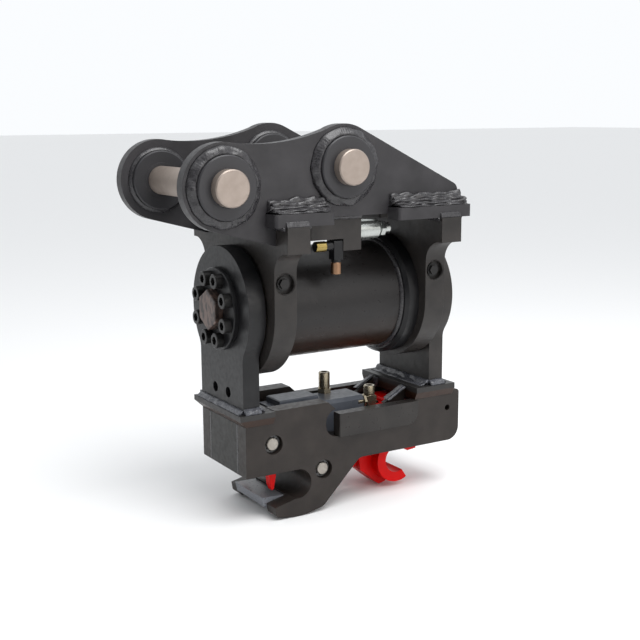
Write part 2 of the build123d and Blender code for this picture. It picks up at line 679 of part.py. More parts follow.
def side_outline():
    """One side plate: notched for the cross plates, with the jaw in its front lobe."""
    jaw_r = JAW_D / 2
    jaw = (JAW_X, JAW_Z)
    slot_floor = on_circle(jaw, jaw_r, -100)
    points = [
        (JAW_X, JAW_Z + jaw_r),
        (SIDE_FRONT_X, SIDE_BOTTOM_Z),
        (SIDE_FRONT_X, CROSS_BOTTOM_Z),
        (CROSS_FRONT[1], CROSS_BOTTOM_Z),
        (CROSS_FRONT[1], SIDE_TOP_Z),
        (POCKET_X[0] + 3.5, SIDE_TOP_Z),
        (POCKET_X[0] + 20, SIDE_TOP_Z - 15),
        (POCKET_X[0] + 20, CROSS_BOTTOM_Z),
        (CROSS_REAR[1], CROSS_BOTTOM_Z),
        (CROSS_REAR[1], SIDE_REAR_TOP_Z),
        (SIDE_REAR_X, SIDE_REAR_TOP_Z),
        (SIDE_REAR_X, SIDE_BOTTOM_Z),
        (LOBE_FOOT_X, SIDE_BOTTOM_Z),
        (LOBE_FOOT_X - LOBE_SLOPE_RUN, SIDE_BOTTOM_Z - LOBE_SLOPE_RUN),
        (JAW_X + 6, LOBE_BOTTOM_Z),
        (NOSE_X, LOBE_BOTTOM_Z + 6),
        (NOSE_X - 2, NOSE_TOP_Z),
        slot_floor,
    ]
    edges = [Polyline(*points), ThreePointArc(slot_floor, on_circle(jaw, jaw_r, 0), points[0])]
    face = make_face(Curve() + edges)

    def corner(point):
        return face.vertices().sort_by_distance(Vector(point[0], point[1], 0))[0]

    face = fillet(corner(points[11]), SIDE_CORNER_R)
    face = fillet(corner(points[10]), 5)
    face = fillet([corner(points[12]), corner(points[13])], 14)
    face = fillet(corner(points[14]), 60)
    face = fillet(corner(points[15]), 5)
    return face


def pocket_outline():
    """The channel in which the hook's lugs slide, open at the top behind its rounded front end."""
    high = CROSS_BOTTOM_Z + POCKET_RISE
    rect = Pos((POCKET_X[0] + POCKET_X[1]) / 2, (POCKET_BOTTOM_Z + high) / 2)
    face = rect * Rectangle(POCKET_X[1] - POCKET_X[0], high - POCKET_BOTTOM_Z)
    lower = face.vertices().group_by(Axis.Y)[0]
    face = fillet(lower, POCKET_R)
    left_top = face.vertices().sort_by_distance(Vector(POCKET_X[0], high, 0))[0]
    return fillet(left_top, POCKET_R)


def make_side_plate():
    face = side_outline() - pocket_outline()
    face -= Pos(*SAFETY_HOLE) * Circle(SAFETY_HOLE_D / 2)
    for centre in ((LATCH_X, LATCH_Z), (TIE_X, TIE_Z)):
        face -= Pos(*centre) * Circle(CROSS_PIN_D / 2 + RUNNING_GAP)
    plate = slab_xz(face, -SIDE_OUTER_Y, -SIDE_INNER_Y)
    for centre in ((LATCH_X, LATCH_Z), (TIE_X, TIE_Z)):
        plate -= rod_y(COUNTERBORE_D, -SIDE_OUTER_Y - 1, -SIDE_OUTER_Y + COUNTERBORE_DEPTH, *centre)
    return plate


def make_guard_bar():
    """The bar that closes the outside of the lug channel."""
    middle = ((GUARD_FRONT_X + POCKET_X[1]) / 2, (POCKET_BOTTOM_Z + GUARD_TOP_Z) / 2)
    size = (POCKET_X[1] - GUARD_FRONT_X, GUARD_TOP_Z - POCKET_BOTTOM_Z)
    face = Pos(*middle) * Rectangle(size[0] - GUARD_END_GAP, size[1])
    low_right = face.vertices().sort_by(lambda corner: corner.X - corner.Y)[-1]
    face = fillet(low_right, POCKET_R)
    bar = slab_xz(face, -GUARD_OUTER_Y, -GUARD_INNER_Y)
    front_edge = bar.edges().filter_by(Axis.Z).sort_by(lambda e: e.center().X + e.center().Y)[0]
    return chamfer(front_edge, 1)


def make_front_block():
    """The nose block with the roof of the jaw behind it."""
    y = (-SIDE_INNER_Y, SIDE_INNER_Y)
    nose = block((SIDE_FRONT_X, FRONT_BLOCK_X), y, (SIDE_BOTTOM_Z, CROSS_BOTTOM_Z))
    roof_y = (-FINGER_SLOT_Y, FINGER_SLOT_Y)
    roof_z = (SIDE_BOTTOM_Z, ROOF_TOP_Z)
    roof = block((FRONT_BLOCK_X, ROOF_REAR_X), roof_y, roof_z)
    hub = rod_y(LATCH_HUB_D + 6, -SIDE_INNER_Y, SIDE_INNER_Y, LATCH_X, LATCH_Z)
    jaw = rod_y(JAW_D + 2 * LINER_T, -SIDE_INNER_Y, SIDE_INNER_Y, JAW_X, JAW_Z)
    return nose + roof - hub - jaw


def behind_jaw():
    """The region that the liner fills, from a little ahead of the jaw's centre."""
    length = LINER_FRONT + JAW_D
    middle = JAW_X - LINER_FRONT + length / 2
    return Pos(middle, JAW_Z) * Rectangle(length, 2 * JAW_D)


def make_jaw_liner():
    """The curved wall at the back of the jaw, notched beside the latch fingers."""
    centre = Pos(JAW_X, JAW_Z)
    ring = centre * (Circle(JAW_D / 2 + LINER_T) - Circle(JAW_D / 2))
    face = ring & behind_jaw()
    liner = slab_xz(face, -SIDE_INNER_Y, SIDE_INNER_Y)
    tie = rod_y(SPACER_D + 0.4, -SIDE_INNER_Y, SIDE_INNER_Y, TIE_X, TIE_Z)
    liner -= tie
    slot_z = (JAW_Z + 11, JAW_Z + 60)
    for side in (-1, 1):
        y = sorted((side * FINGER_SLOT_Y, side * (SIDE_INNER_Y + 1)))
        liner -= block((JAW_X - 40, JAW_X + 60), y, slot_z)
    return liner


def make_lip_plate():
    """The plate across the bottom of the jaw's mouth."""
    back = (JAW_X, JAW_Z - JAW_D / 2 - LIP_T)
    top_back = (JAW_X, JAW_Z - JAW_D / 2 - 0.5)
    front_x = NOSE_X - LIP_OVERHANG
    front_z = NOSE_TOP_Z + LIP_RISE
    points = [(front_x, front_z), (front_x + 3.4, front_z - LIP_T), back, top_back]
    face = make_face(Polyline(*points, close=True)) - behind_jaw()
    return slab_xz(face, -SIDE_INNER_Y, SIDE_INNER_Y)


def make_gusset():
    """A small web between the rear cross plate and a side plate."""
    x = CROSS_REAR[0]
    low = CROSS_BOTTOM_Z - GUSSET_DROP
    points = [(x, CROSS_TOP_Z - 3), (x, low), (x - GUSSET_REACH, low)]
    web = slab_xz(make_face(Polyline(*points, close=True)), -SIDE_INNER_Y, -SIDE_INNER_Y + GUSSET_T)
    return both_sides(web)


def make_rear_bar():
    """The bar that ties the side plates together behind the hook."""
    rear = SIDE_REAR_X - REAR_BAR_INSET
    z_range = (SIDE_BOTTOM_Z + REAR_BAR_T, SIDE_REAR_TOP_Z - REAR_BAR_T)
    return block((rear - REAR_BAR_T, rear), (-SIDE_INNER_Y, SIDE_INNER_Y), z_range)


def make_cross_pin(centre):
    """A plain pin through both side plates, standing up in their counterbores."""
    half = SIDE_OUTER_Y - COUNTERBORE_DEPTH + CROSS_PIN_STAND
    pin = rod_y(CROSS_PIN_D, -half, half, *centre)
    return chamfer(pin.edges().filter_by(GeomType.CIRCLE), 1)


def make_retaining_rings(centre):
    """Push-on washers with teeth, in the counterbores."""
    seat = SIDE_OUTER_Y - COUNTERBORE_DEPTH
    ring = tube_y(RING_OD, CROSS_PIN_D, -seat - RING_T, -seat, *centre)
    for i in range(10):
        spot = on_circle(centre, CROSS_PIN_D / 2 + 0.6, i * 36)
        ring -= rod_y(2.4, -seat - RING_T - 1, -seat + 1, *spot)
    return both_sides(ring)


def make_spacer():
    half = SIDE_INNER_Y
    return tube_y(SPACER_D, CROSS_PIN_D, -half, half, TIE_X, TIE_Z)


def latch_finger_outline():
    hub = Pos(LATCH_X, LATCH_Z) * Circle(LATCH_HUB_D / 2)
    points = [
        (LATCH_X - 14.6, LATCH_Z - 3),
        (LATCH_X + 6.5, LATCH_Z - 56),
        (LATCH_X + 8.0, LATCH_Z - 69),
        (LATCH_X + 11.0, LATCH_Z - 76.5),
        (LATCH_X + 13.5, LATCH_Z - 74),
        (LATCH_X + 17.0, LATCH_Z - 55),
        (LATCH_X + 14.6, LATCH_Z - 3),
    ]
    return hub + make_face(Polyline(*points, close=True))


def make_latch():
    """Two fingers on one hub, hung on the latch pin."""
    outer = SIDE_INNER_Y - SIDE_CLEARANCE
    finger = slab_xz(latch_finger_outline(), -outer, -outer + LATCH_FINGER_T)
    hub = rod_y(LATCH_BARREL_D, -outer + LATCH_FINGER_T, outer - LATCH_FINGER_T, LATCH_X, LATCH_Z)
    latch = both_sides(finger)[0] + both_sides(finger)[1] + hub
    return latch - rod_y(CROSS_PIN_D + 2 * RUNNING_GAP, -outer - 1, outer + 1, LATCH_X, LATCH_Z)


def make_latch_spring():
    """The return spring round the latch's hub, as a row of rings."""
    inner = LATCH_BARREL_D + 0.6
    outer = inner + 2 * SPRING_WIRE
    first = -(SPRING_TURNS - 1) / 2 * SPRING_PITCH
    middles = [first + i * SPRING_PITCH for i in range(SPRING_TURNS)]
    half = SPRING_WIRE / 2
    return [tube_y(outer, inner, y - half, y + half, LATCH_X, LATCH_Z) for y in middles]


def make_cylinder():
    x = (CYL_X[0] + CYL_CAP_T, CYL_X[1] - GLAND_T)
    body = block(x, (-CYL_HALF_W, CYL_HALF_W), (ROOF_TOP_Z, CYL_TOP_Z))
    body = chamfer(body.edges().filter_by(Axis.X), 5)
    body -= rod_x(CYL_BORE_D, x[0] - 1, x[1] + 1, 0, CYL_AXIS_Z)
    plate_z = (CYL_TOP_Z, CYL_TOP_Z + TOP_PLATE_T)
    plate = block(TOP_PLATE_X, (-TOP_PLATE_HALF_W, TOP_PLATE_HALF_W), plate_z)
    return body + chamfer(plate.edges().group_by(Axis.Z)[-1], 1.5)


def make_cylinder_cap():
    x = (CYL_X[0], CYL_X[0] + CYL_CAP_T)
    cap = block(x, (-CYL_HALF_W, CYL_HALF_W), (ROOF_TOP_Z, CYL_TOP_Z))
    cap = chamfer(cap.edges().filter_by(Axis.X), 5)
    return cap + rod_x(CYL_BORE_D - 0.2, x[1], x[1] + 6, 0, CYL_AXIS_Z)


def make_gland():
    x = (CYL_X[1] - GLAND_T, CYL_X[1])
    gland = block(x, (-CYL_HALF_W, CYL_HALF_W), (ROOF_TOP_Z, CYL_TOP_Z))
    gland = chamfer(gland.edges().filter_by(Axis.X), 5)
    gland += rod_x(CYL_BORE_D - 0.2, x[0] - 8, x[0], 0, CYL_AXIS_Z)
    port_z = ELBOW_BASE_Z + FITTING_NUT / 2
    gland -= rod_x(FITTING_D - 4, x[1] - 10, x[1] + 1, FITTING_NEAR[1], port_z)
    return gland - rod_x(ROD_D + 2 * RUNNING_GAP, x[0] - 9, x[1] + 1, 0, CYL_AXIS_Z)


def make_hook_piston():
    x = (HOOK_PISTON_X, HOOK_PISTON_X + PISTON_W)
    return tube_x(CYL_BORE_D - 2 * RUNNING_GAP, ROD_D - 6, *x, 0, CYL_AXIS_Z)


def make_hook_rod():
    shoulder = HOOK_PISTON_X + PISTON_W
    rod = rod_x(ROD_D, shoulder, SLIDER_X[0] + ROD_SPIGOT, 0, CYL_AXIS_Z)
    return rod + rod_x(ROD_D - 6, HOOK_PISTON_X, shoulder, 0, CYL_AXIS_Z)


def hook_ring_outline():
    """The C of the rear hook, open to the rear, with a nose on its lower arm."""
    centre = (HOOK_X, HOOK_Z)
    inner = HOOK_JAW_D / 2
    outer = inner + HOOK_RIM
    top_z = SLIDER_BOTTOM_Z
    outside = Pos(*centre) * Circle(outer)
    upper = Pos(HOOK_X + 4, (HOOK_Z + top_z) / 2) * Rectangle(2 * outer - 8, top_z - HOOK_Z)
    mouth_low = on_circle(centre, inner, -62)
    mouth_cut = [
        centre,
        mouth_low,
        on_circle(centre, outer + 30, -58),
        (HOOK_X + outer + 40, HOOK_Z),
        (HOOK_X + outer + 40, HOOK_Z + inner - 4),
        (HOOK_X + 20, HOOK_Z + inner - 10),
        (HOOK_X + 9, HOOK_Z + inner - 2.4),
    ]
    face = outside + upper
    face -= Pos(*centre) * Circle(inner)
    face -= make_face(Polyline(*mouth_cut, close=True))
    return face


def hook_body_outline():
    """The thick web behind the C."""
    points = [
        (HOOK_X - 58.0, SLIDER_BOTTOM_Z - 1),
        (HOOK_X - 58.0, HOOK_Z + 4.0),
        (HOOK_X - 55.5, HOOK_Z - 13.0),
        (HOOK_X - 21.0, HOOK_Z - 41.0),
        (HOOK_X - 10.0, HOOK_Z - 39.0),
        (HOOK_X, HOOK_Z - 28.0),
        (HOOK_X, SLIDER_BOTTOM_Z - 1),
    ]
    web = make_face(Polyline(*points, close=True))
    return web - Pos(HOOK_X, HOOK_Z) * Circle(HOOK_JAW_D / 2)


def make_hook():
    """The sliding hook: slider block with side lugs, web and two C-shaped flanges."""
    half = HOOK_HALF_W
    flange = slab_xz(hook_ring_outline(), -half, -half + HOOK_FLANGE_T)
    hook = both_sides(flange)[0] + both_sides(flange)[1]
    hook += slab_xz(hook_body_outline(), -half + HOOK_FLANGE_T, half - HOOK_FLANGE_T)
    hook += slab_xz(hook_ring_outline(), -half + HOOK_FLANGE_T, half - HOOK_FLANGE_T)
    slider = block(SLIDER_X, (-SLIDER_HALF_W, SLIDER_HALF_W), (SLIDER_BOTTOM_Z - 1, SLIDER_TOP_Z))
    hook += slider
    raised_y = SLIDER_HALF_W - SLIDER_STEP_IN
    raised = block((SLIDER_STEP_X, SLIDER_X[1]), (-raised_y, raised_y), (SLIDER_TOP_Z, SLIDER_RAISED_Z))
    hook += chamfer(raised.edges().filter_by(Axis.Y).group_by(Axis.Z)[-1], 2)
    lug_z = (POCKET_BOTTOM_Z + LUG_GAP, SLIDER_TOP_Z)
    hook += block(LUG_X, (-LUG_OUTER_Y, LUG_OUTER_Y), lug_z)
    heel = rod_x(HEEL_D, HOOK_X - 74.0, HOOK_X - 56.0, 0, HOOK_Z - 1.0)
    hook += fillet(heel.edges().filter_by(GeomType.CIRCLE).sort_by(Axis.X)[0], 6)
    return hook - rod_x(ROD_D, SLIDER_X[0] - 1, SLIDER_X[0] + ROD_SPIGOT, 0, CYL_AXIS_Z)


def make_fitting(x, y, base_z):
    """A straight hose fitting: hexagon below, threaded tube above."""
    nut = slab_xy(Pos(x, y) * RegularPolygon(FITTING_NUT / 2, 6, major_radius=False), base_z, base_z + 7)
    stem = rod_z(FITTING_D, base_z + 7, base_z + FITTING_HEIGHT, x, y)
    bore = rod_z(FITTING_D - 6, base_z + 8, base_z + FITTING_HEIGHT + 1, x, y)
    return nut + stem - bore


def make_elbow_fitting():
    """The fitting behind the gland, which turns up beside the hook's slider."""
    x, y = FITTING_NEAR
    mid_z = ELBOW_BASE_Z + FITTING_NUT / 2
    body = block((x - 8, x + 8), (y - 8, y + 8), (ELBOW_BASE_Z, mid_z + 8))
    body = fillet(body.edges().filter_by(Axis.Y), 3)
    body += rod_x(FITTING_D - 4, CYL_X[1] - 10, x, y, mid_z)
    nut = slab_yz(Pos(y, mid_z) * RegularPolygon(8.5, 6, major_radius=False), CYL_X[1], CYL_X[1] + 4)
    stem = rod_z(FITTING_D, mid_z + 8, ELBOW_BASE_Z + FITTING_HEIGHT, x, y)
    bore = rod_z(FITTING_D - 6, mid_z + 9, ELBOW_BASE_Z + FITTING_HEIGHT + 1, x, y)
    return body + nut + stem - bore


# Upper bracket
ear = make_ear()
save("ear_near", ear)
save("ear_far", mirror(ear, Plane.XZ))
save("dipper_bosses", *make_bosses(DIPPER_PIN))
save("link_bosses", *make_bosses(LINK_PIN))
save("dipper_bushes", *make_bushes(DIPPER_PIN))
save("link_bushes", *make_bushes(LINK_PIN))
saddle_rear = make_saddle()
save("saddle_rear", saddle_rear)
save("saddle_front", mirror(saddle_rear, Plane.YZ))
plug = make_saddle_plug()
save("saddle_plugs", *[end for side in both_sides(plug) for end in both_ends(side)])
save("barrel", make_barrel())
save("barrel_collar", make_collar())
save("shelf_plates", *make_shelf(SHELF_FRONT), *make_shelf(SHELF_REAR))
save("top_plates", make_top_plate(DECK_FRONT), make_top_plate(DECK_REAR))
save("manifold_block", make_manifold())
save("relief_valve", make_relief_valve())
save("hose_elbow", make_elbow())
save("shaft_bushes", *both_ends(make_shaft_bush()))
save("shaft_seals", *both_ends(make_shaft_seal()))
save("ring_gear", make_ring_gear())

# Pins that fasten the coupler to the arm and the link
save("dipper_pin", make_pin(DIPPER_PIN))
save("link_pin", make_pin(LINK_PIN))
save("dipper_end_washer", make_end_washer(DIPPER_PIN))
save("link_end_washer", make_end_washer(LINK_PIN))
save("dipper_end_bolt", make_end_bolt(DIPPER_PIN))
save("link_end_bolt", make_end_bolt(LINK_PIN))

# Tilt piston
save("tilt_piston", make_piston())
save("piston_seal", make_piston_seal())

# Lower hitch
save("tilt_shaft", make_tilt_shaft())
save("end_plate_front", mirror(make_end_plate(True), Plane.YZ))
save("end_plate_rear", make_end_plate(False))
flange = make_end_flange()
save("end_flange_rear", flange)
save("end_flange_front", mirror(flange, Plane.YZ))
screws = [make_screw(*on_circle((0, 0), SCREW_PCD / 2, angle)) for angle in screw_angles()]
save("flange_screws_rear", *screws)
save("flange_screws_front", *[mirror(screw, Plane.YZ) for screw in screws])
save("centre_plugs", *both_ends(make_centre_plug()))
save("thrust_washers", *both_ends(make_thrust_washer()))
save("cross_plate_front", make_front_cross_plate())
save("cross_plate_rear", make_cross_plate(CROSS_REAR))
side_plate = make_side_plate()
save("side_plate_near", side_plate)
save("side_plate_far", mirror(side_plate, Plane.XZ))
save("guard_bars", *both_sides(make_guard_bar()))
save("front_block", make_front_block())
save("jaw_liner", make_jaw_liner())
save("lip_plate", make_lip_plate())
save("gussets", *make_gusset())
save("rear_bar", make_rear_bar())
save("latch_pin", make_cross_pin((LATCH_X, LATCH_Z)))
save("tie_pin", make_cross_pin((TIE_X, TIE_Z)))
save("retaining_rings", *make_retaining_rings((LATCH_X, LATCH_Z)), *make_retaining_rings((TIE_X, TIE_Z)))
save("tie_spacer", make_spacer())
save("hook_cylinder", make_cylinder())
save("cylinder_cap", make_cylinder_cap())
save("rod_gland", make_gland())
save("port_fittings", make_fitting(*FITTING_FAR, CYL_TOP_Z), make_elbow_fitting())

# Rear hook and latch
save("rear_hook", make_hook())
save("hook_piston", make_hook_piston())
save("hook_rod", make_hook_rod())
save("jaw_latch", make_latch())
save("latch_spring", *make_latch_spring())
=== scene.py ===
import math

import bpy
from mathutils import Matrix, Vector, noise


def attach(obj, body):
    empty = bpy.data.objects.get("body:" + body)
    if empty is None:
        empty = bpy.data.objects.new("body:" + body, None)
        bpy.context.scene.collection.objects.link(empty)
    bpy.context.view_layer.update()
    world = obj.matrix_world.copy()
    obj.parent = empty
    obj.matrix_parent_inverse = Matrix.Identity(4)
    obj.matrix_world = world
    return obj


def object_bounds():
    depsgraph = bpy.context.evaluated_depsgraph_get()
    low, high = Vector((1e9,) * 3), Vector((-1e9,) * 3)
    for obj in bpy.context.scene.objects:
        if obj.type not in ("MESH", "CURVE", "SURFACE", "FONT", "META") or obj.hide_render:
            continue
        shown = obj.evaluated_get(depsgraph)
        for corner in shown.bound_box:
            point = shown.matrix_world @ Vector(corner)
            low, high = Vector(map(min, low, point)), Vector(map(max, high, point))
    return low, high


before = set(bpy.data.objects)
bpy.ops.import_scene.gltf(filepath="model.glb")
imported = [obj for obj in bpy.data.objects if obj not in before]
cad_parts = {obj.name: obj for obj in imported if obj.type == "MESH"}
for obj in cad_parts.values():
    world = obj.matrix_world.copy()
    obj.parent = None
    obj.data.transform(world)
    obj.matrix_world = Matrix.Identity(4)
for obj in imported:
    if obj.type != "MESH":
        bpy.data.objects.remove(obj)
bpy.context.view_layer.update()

# Sizes are in millimetres about the tilt axis: X towards the rear hook, Y away from the camera, Z up.
MM = 0.001
TILT_AXIS = Vector((215, 0, -175)) * MM
DIPPER_PIN = (-215, 175)
LINK_PIN = (-35, 196)
EAR_OUTER_Y = 111.0
EAR_INNER_Y = 94.0
BOSS_R = 41.5
SHELF_TOP_Z = 139.0
SHELF_OUTER_Y = 138.0
EAR_BOTTOM_Z = 129.5
SADDLE_X = (107.0, 141.0)
SADDLE_BAR_TOP_Z = 122.0
SADDLE_BAR_Y = 142.0
BARREL_R = 79.0
COLLAR_W = 22.0
END_IN_X = 145.0
END_OUT_X = 170.0
LEG_HALF_W = 65.7
CROSS_TOP_Z = -138.5
CROSS_BOTTOM_Z = -157.0
CROSS_CHAMFER_TOP_Z = -146.0
CROSS_FRONT_X = (-179.0, -125.0)
CROSS_REAR_X = (117.0, 188.0)
SIDE_OUTER_Y = 68.3
SIDE_INNER_Y = 42.3
SIDE_FRONT_X = -168.4
SIDE_TOP_Z = -139.3
SIDE_BOTTOM_Z = -230.0
MANIFOLD_X = (-84.0, -4.0)
MANIFOLD_FRONT_Y = -105.0
GUSSET_T = 8.0
ELBOW_R = 6.5
ELBOW_DROP_END = (-40.0, -97.0, 50.0)
ELBOW_LEG_END = (-74.0, -97.0, 89.0)
FITTING_R = 8.0
FITTING_ENDS = (("far", (12.0, 20.0, -142.0), 23.0), ("near", (66.0, -22.0, -150.5), 12.6))


def at(x, y, z):
    """A place given in millimetres about the tilt axis, as a point in the row frame."""
    return TILT_AXIS + Vector((x, y, z)) * MM


# Materials


class Finish:
    """A node material that grows from its principled shader outwards."""

    def __init__(self, name, colour, roughness, metallic=0.0, shine=0.5):
        self.material = bpy.data.materials.new(name)
        self.material.use_nodes = True
        self.tree = self.material.node_tree
        self.shader = self.tree.nodes["Principled BSDF"]
        self.shader.inputs["Base Color"].default_value = (*colour, 1)
        self.shader.inputs["Roughness"].default_value = roughness
        self.shader.inputs["Metallic"].default_value = metallic
        self.shader.inputs["Specular IOR Level"].default_value = shine
        self.place = self.node("ShaderNodeTexCoord").outputs["Object"]
        self.normal = None

    def node(self, kind, **settings):
        made = self.tree.nodes.new(kind)
        for key, value in settings.items():
            setattr(made, key, value)
        return made

    def link(self, source, target):
        self.tree.links.new(source, target)

    def moved(self, shift=(0, 0, 0), turn=(0, 0, 0), scale=(1, 1, 1)):
        mapping = self.node("ShaderNodeMapping")
        self.link(self.place, mapping.inputs["Vector"])
        mapping.inputs["Location"].default_value = shift
        mapping.inputs["Rotation"].default_value = [math.radians(a) for a in turn]
        mapping.inputs["Scale"].default_value = scale
        return mapping.outputs["Vector"]

    def noise(self, scale, detail=3.0, stretch=(1, 1, 1), turn=(0, 0, 0)):
        texture = self.node("ShaderNodeTexNoise")
        self.link(self.moved(turn=turn, scale=stretch), texture.inputs["Vector"])
        texture.inputs["Scale"].default_value = scale
        texture.inputs["Detail"].default_value = detail
        return texture.outputs["Fac"]

    def rings(self, centre, scale):
        """Noise that changes only with the distance from an axis along Y through centre."""
        flat = self.node("ShaderNodeVectorMath", operation="MULTIPLY")
        point = at(centre[0], 0, centre[1])
        self.link(self.moved(shift=(-point.x, 0, -point.z)), flat.inputs[0])
        flat.inputs[1].default_value = (1, 0, 1)
        length = self.node("ShaderNodeVectorMath", operation="LENGTH")
        self.link(flat.outputs["Vector"], length.inputs[0])
        join = self.node("ShaderNodeCombineXYZ")
        self.link(length.outputs["Value"], join.inputs["X"])
        texture = self.node("ShaderNodeTexNoise")
        self.link(join.outputs["Vector"], texture.inputs["Vector"])
        texture.inputs["Scale"].default_value = scale
        return texture.outputs["Fac"]

    def stretch_range(self, value, low, high, to_low=0.0, to_high=1.0):
        node = self.node("ShaderNodeMapRange")
        self.link(value, node.inputs["Value"])
        for key, number in (("From Min", low), ("From Max", high), ("To Min", to_low), ("To Max", to_high)):
            node.inputs[key].default_value = number
        return node.outputs["Result"]

    def below(self, z):
        """One under the given height about the tilt axis, and nought above it."""
        split = self.node("ShaderNodeSeparateXYZ")
        self.link(self.place, split.inputs["Vector"])
        return self.stretch_range(split.outputs["Z"], at(0, 0, z - 0.5).z, at(0, 0, z).z, 1.0, 0.0)

    def colours(self, value, first, second):
        mix = self.node("ShaderNodeMix", data_type="RGBA")
        self.link(value, mix.inputs["Factor"])
        for key, colour in (("A", first), ("B", second)):
            socket = [s for s in mix.inputs if s.name == key and s.type == "RGBA"][0]
            if isinstance(colour, tuple):
                socket.default_value = (*colour, 1)
            else:
                self.link(colour, socket)
        result = [s for s in mix.outputs if s.type == "RGBA"][0]
        self.link(result, self.shader.inputs["Base Color"])
        return result

    def roughness(self, value, low, high):
        self.link(self.stretch_range(value, 0.3, 0.7, low, high), self.shader.inputs["Roughness"])

    def soft_edges(self, radius=0.7):
        """Edges catch the light as if they were broken by that radius in millimetres."""
        bevel = self.node("ShaderNodeBevel", samples=4)
        bevel.inputs["Radius"].default_value = radius * MM
        self.normal = bevel.outputs["Normal"]
        self.link(self.normal, self.shader.inputs["Normal"])

    def bump(self, value, height, strength=1.0):
        """Raises the surface by up to the given height in millimetres."""
        node = self.node("ShaderNodeBump")
        node.inputs["Distance"].default_value = height * MM
        node.inputs["Strength"].default_value = strength
        self.link(value, node.inputs["Height"])
        if self.normal:
            self.link(self.normal, node.inputs["Normal"])
        self.normal = node.outputs["Normal"]
        self.link(self.normal, self.shader.inputs["Normal"])


PAINT_SHINE = 0.3


def plate_paint(name, dark, light, roughness):
    """Satin paint over rolled plate: clouded, with fine grit."""
    finish = Finish(name, dark, roughness, shine=PAINT_SHINE)
    cloud = finish.noise(28, 4)
    finish.colours(finish.stretch_range(cloud, 0.35, 0.68), dark, light)
    finish.roughness(finish.noise(160, 3), roughness - 0.06, roughness + 0.1)
    finish.soft_edges()
    finish.bump(finish.noise(900, 2), 0.12, 0.4)
    return finish


def ear_paint():
    return plate_paint("ear_paint", (0.026, 0.025, 0.027), (0.04, 0.038, 0.041), 0.42).material


def housing_paint():
    return plate_paint("housing_paint", (0.006, 0.006, 0.007), (0.011, 0.011, 0.012), 0.34).material


def barrel_paint():
    """Black with a soft grain, and a painted brown reflection of the ground on its lower side."""
    finish = plate_paint("barrel_paint", (0.012, 0.011, 0.011), (0.017, 0.015, 0.015), 0.33)
    dark = finish.colours(finish.noise(40, 3), (0.011, 0.010, 0.010), (0.017, 0.015, 0.015))
    # Painted reflection: below the barrel's middle the colour turns brown, standing in for the ground reflected in it.
    split = finish.node("ShaderNodeSeparateXYZ")
    finish.link(finish.place, split.inputs["Vector"])
    ground_reflection_mask = finish.stretch_range(split.outputs["Z"], at(0, 0, -20).z, at(0, 0, -70).z)
    finish.colours(ground_reflection_mask, dark, (0.022, 0.010, 0.005))
    return finish.material


def saddle_paint():
    finish = plate_paint("saddle_paint", (0.020, 0.018, 0.017), (0.034, 0.030, 0.028), 0.38)
    finish.bump(finish.noise(75, 3), 0.35, 0.5)
    return finish.material


def hitch_paint():
    finish = plate_paint("hitch_paint", (0.018, 0.014, 0.012), (0.029, 0.023, 0.020), 0.38)
    finish.bump(finish.noise(60, 2, stretch=(1, 1, 12), turn=(0, 28, 0)), 0.08, 0.4)
    return finish.material


def block_paint():
    """The nose block's paint, with upright brown streaks."""
    finish = plate_paint("block_paint", (0.012, 0.012, 0.011), (0.02, 0.019, 0.017), 0.4)
    dark = finish.colours(finish.noise(28, 4), (0.012, 0.012, 0.011), (0.02, 0.019, 0.017))
    streaks = finish.stretch_range(finish.noise(140, 2, stretch=(0.2, 1, 0.03)), 0.56, 0.72, 0.0, 0.7)
    finish.colours(streaks, dark, (0.05, 0.03, 0.012))
    return finish.material


def cross_plate_paint():
    """Dark paint on top, with painted shade and a painted brown reflection of the ground on the chamfered underside."""
    finish = plate_paint("cross_plate_paint", (0.02, 0.019, 0.019), (0.034, 0.032, 0.031), 0.36)
    dark = finish.colours(finish.noise(28, 4), (0.02, 0.019, 0.019), (0.034, 0.032, 0.031))
    # Painted shade and reflection: under the chamfer's top the colour turns dark brown, standing in for shadow and the
    # floor reflected in the underside.
    finish.colours(finish.below(CROSS_CHAMFER_TOP_Z), dark, (0.03, 0.013, 0.007))
    return finish.material


def guard_paint():
    return plate_paint("guard_paint", (0.018, 0.016, 0.015), (0.028, 0.025, 0.023), 0.32).material


def cylinder_paint():
    return plate_paint("cylinder_paint", (0.07, 0.078, 0.095), (0.1, 0.11, 0.13), 0.36).material


def lip_paint():
    """Pale worn paint with dark specks."""
    finish = Finish("lip_paint", (0.2, 0.21, 0.23), 0.35)
    specks = finish.stretch_range(finish.noise(330, 2), 0.62, 0.68)
    finish.colours(specks, (0.2, 0.21, 0.235), (0.03, 0.03, 0.035))
    finish.soft_edges()
    return finish.material


def pin_steel():
    """Turned steel, warm in tone."""
    finish = Finish("pin_steel", (0.5, 0.44, 0.38), 0.38, metallic=0.55)
    finish.colours(finish.noise(90, 5), (0.25, 0.205, 0.175), (0.38, 0.32, 0.28))
    finish.roughness(finish.noise(200, 3), 0.34, 0.48)
    finish.soft_edges(0.6)
    finish.bump(finish.noise(500, 4), 0.06, 0.4)
    return finish.material


def small_pin_steel():
    finish = Finish("small_pin_steel", (0.4, 0.38, 0.34), 0.35, metallic=0.5)
    finish.colours(finish.noise(300, 3), (0.22, 0.2, 0.175), (0.42, 0.39, 0.35))
    finish.soft_edges(0.5)
    return finish.material


def boss_paint(name, centre):
    """Thin dark paint over a turned face."""
    finish = Finish(name, (0.04, 0.04, 0.042), 0.38, metallic=0.25, shine=PAINT_SHINE)
    finish.colours(finish.rings(centre, 1500), (0.030, 0.030, 0.033), (0.052, 0.051, 0.054))
    finish.soft_edges(0.8)
    finish.bump(finish.rings(centre, 3000), 0.05, 0.5)
    return finish.material


